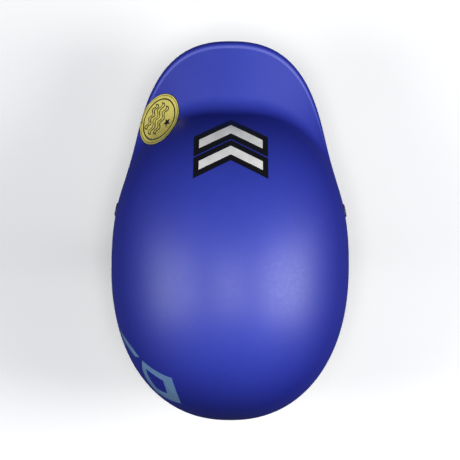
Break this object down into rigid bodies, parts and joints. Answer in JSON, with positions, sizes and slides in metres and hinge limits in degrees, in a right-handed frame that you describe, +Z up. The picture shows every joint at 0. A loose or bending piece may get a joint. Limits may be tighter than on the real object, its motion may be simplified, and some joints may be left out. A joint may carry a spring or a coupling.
{
  "type": "brimmed water sports helmet",
  "caption": "Brimmed hard-shell water sports helmet with foam liner, riveted webbing, magnetic chin buckle and a dial-adjusted nape cradle.",
  "frame": {"origin": "centre of the head opening at brow level, where the helmet sits on a head", "axes": "+Z up through the crown, -Y forwards over the brim, +X to the wearer's left"},
  "size_m": [0.2038, 0.3242, 0.2711],
  "materials": {
    "shell": "satin",
    "print_white": "gloss",
    "print_gold": "gloss",
    "print_grey": "satin",
    "liner_foam": "matte",
    "pad_fabric": "matte",
    "hook_tape": "matte",
    "webbing": "matte",
    "black_plastic": "satin",
    "grey_metal": "satin",
    "magnet_metal": "satin",
    "keeper_rubber": "matte",
    "gear_plastic": "satin",
    "dial_plastic": "satin"
  },
  "bodies": {
    "helmet": {"outer_shell": "shell", "chevron_stickers": "print_white", "round_badge": "print_gold", "side_label": "print_grey", "liner_centre": "liner_foam", "liner_left": "liner_foam", "liner_right": "liner_foam", "brow_pad": "pad_fabric", "rear_pad": "pad_fabric", "side_pad_left": "pad_fabric", "side_pad_right": "pad_fabric", "crown_pad": "pad_fabric", "pad_hook_dots": "hook_tape", "strap_rivet_caps": "black_plastic", "strap_rivet_posts": "grey_metal", "strap_rivet_washers": "grey_metal", "front_strap_left": "webbing", "front_strap_right": "webbing", "rear_strap_left": "webbing", "rear_strap_right": "webbing", "lower_strap_left": "webbing", "lower_strap_right": "webbing", "chin_strap": "webbing", "strap_tail": "webbing", "base_strap_turn": "webbing", "buckle_base": "black_plastic", "buckle_base_magnets": "magnet_metal", "temple_studs": "black_plastic"},
    "divider_left": {"divider_left": "black_plastic"},
    "divider_right": {"divider_right": "black_plastic"},
    "keeper": {"strap_keeper": "keeper_rubber"},
    "buckle_slider_body": {"buckle_slider": "black_plastic", "buckle_slider_magnets": "magnet_metal", "buckle_pull_tab": "webbing", "slider_strap_turn": "webbing"},
    "fit_arms": {"arm_left": "black_plastic", "arm_right": "black_plastic"},
    "fit_cradle": {"cradle": "black_plastic", "cradle_cover": "black_plastic", "cover_screws": "grey_metal", "cradle_pads": "pad_fabric"},
    "dial": {"dial_knob": "dial_plastic", "dial_pinion": "gear_plastic", "dial_screw": "grey_metal"},
    "rack_left_body": {"rack_left": "gear_plastic"},
    "rack_right_body": {"rack_right": "gear_plastic"}
  },
  "joints": [
    {"name": "divider_left_slide", "type": "slide", "parent": "helmet", "child": "divider_left", "axis": [-0.3713, 0, -0.9285], "range_m": [0, 0.005]},
    {"name": "divider_right_slide", "type": "slide", "parent": "helmet", "child": "divider_right", "axis": [0.3713, 0, -0.9285], "range_m": [0, 0.005]},
    {"name": "keeper_slide", "type": "hinge", "parent": "helmet", "child": "keeper", "pos_m": [0, -0.002, -0.106], "axis": [0, 1, 0], "range_deg": [-10, 10]},
    {"name": "buckle_slide", "type": "slide", "parent": "helmet", "child": "buckle_slider_body", "axis": [0, 1, 0], "range_m": [0, 0.022]},
    {"name": "fit_tilt", "type": "hinge", "parent": "helmet", "child": "fit_arms", "pos_m": [0, -0.02, -0.014], "axis": [1, 0, 0], "range_deg": [-7, 1]},
    {"name": "cradle_adjust", "type": "slide", "parent": "fit_arms", "child": "fit_cradle", "axis": [0, -0.9272, 0.3746], "range_m": [0, 0.01]},
    {"name": "dial_turn", "type": "hinge", "parent": "fit_cradle", "child": "dial", "pos_m": [0, 0.11908, -0.07019], "axis": [0, -0.9272, 0.3746], "range_deg": [0, 116]},
    {"name": "rack_left_slide", "type": "slide", "parent": "fit_cradle", "child": "rack_left_body", "axis": [-1, 0, 0], "range_m": [0, 0.0102]},
    {"name": "rack_right_slide", "type": "slide", "parent": "fit_cradle", "child": "rack_right_body", "axis": [1, 0, 0], "range_m": [0, 0.0102]}
  ],
  "couplings": [
    {"joint": "dial_turn", "follows": "cradle_adjust", "rad_per_m": 200.8},
    {"joint": "rack_left_slide", "follows": "cradle_adjust", "ratio": 1.004},
    {"joint": "rack_right_slide", "follows": "cradle_adjust", "ratio": 1.004}
  ]
}
